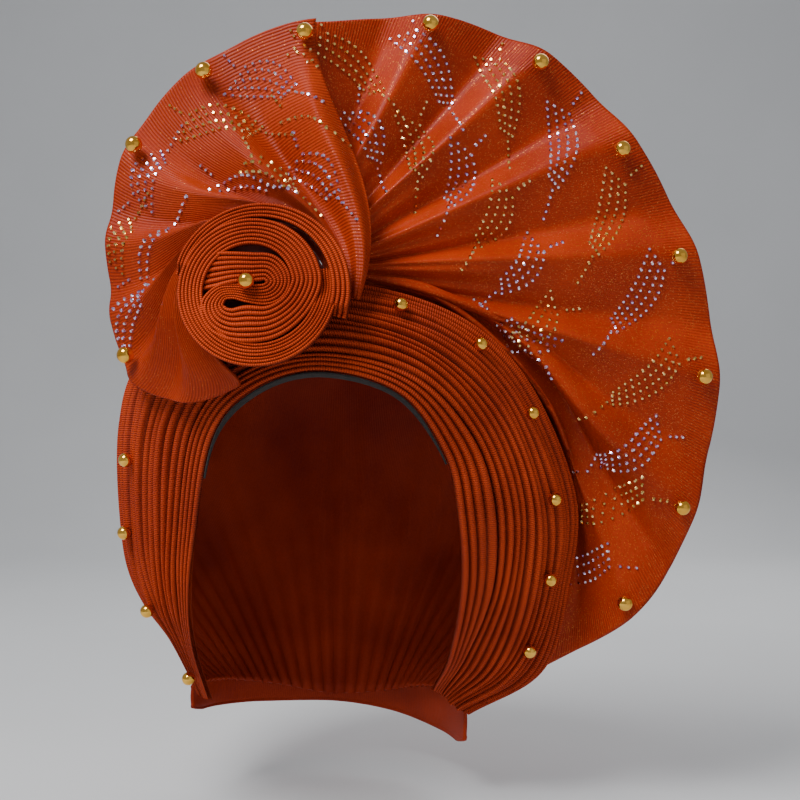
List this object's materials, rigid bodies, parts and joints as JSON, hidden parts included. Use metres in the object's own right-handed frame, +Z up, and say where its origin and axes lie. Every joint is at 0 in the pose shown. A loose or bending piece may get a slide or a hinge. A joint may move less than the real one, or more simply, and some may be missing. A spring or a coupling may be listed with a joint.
{
  "type": "tied gele head tie",
  "caption": "Stiff cloth head tie tied in a fan: ribbed brow roll, pleated band, two pleated fans, coiled rosette, drawn crown and nape strap, with round beads.",
  "frame": {"origin": "the point inside the crown that rests on the top of the head", "axes": "+Z up, -Y the way the wearer faces, +X to the right of someone looking at the wearer"},
  "size_m": [0.3211, 0.2158, 0.4029],
  "materials": {
    "ribbed_cloth": "ribbed satin weave",
    "satin_cloth": "satin with fine metal thread",
    "lining_cloth": "matte net",
    "gold_bead": "polished"
  },
  "bodies": {
    "root": {"brow_band": "ribbed_cloth", "pleated_band": "ribbed_cloth", "rosette_coil": "ribbed_cloth", "gather_knot": "ribbed_cloth", "crown_cap": "satin_cloth", "fan_main": "satin_cloth", "fan_left": "satin_cloth", "nape_strap": "satin_cloth", "lining_edge": "lining_cloth", "bead_01": "gold_bead", "bead_02": "gold_bead", "bead_03": "gold_bead", "bead_04": "gold_bead", "bead_05": "gold_bead", "bead_06": "gold_bead", "bead_07": "gold_bead", "bead_08": "gold_bead", "bead_09": "gold_bead", "bead_10": "gold_bead", "bead_11": "gold_bead", "bead_12": "gold_bead", "bead_13": "gold_bead", "bead_14": "gold_bead", "bead_15": "gold_bead", "bead_16": "gold_bead", "bead_17": "gold_bead", "bead_18": "gold_bead", "bead_19": "gold_bead", "bead_20": "gold_bead", "bead_21": "gold_bead", "bead_22": "gold_bead"}
  },
  "joints": []
}
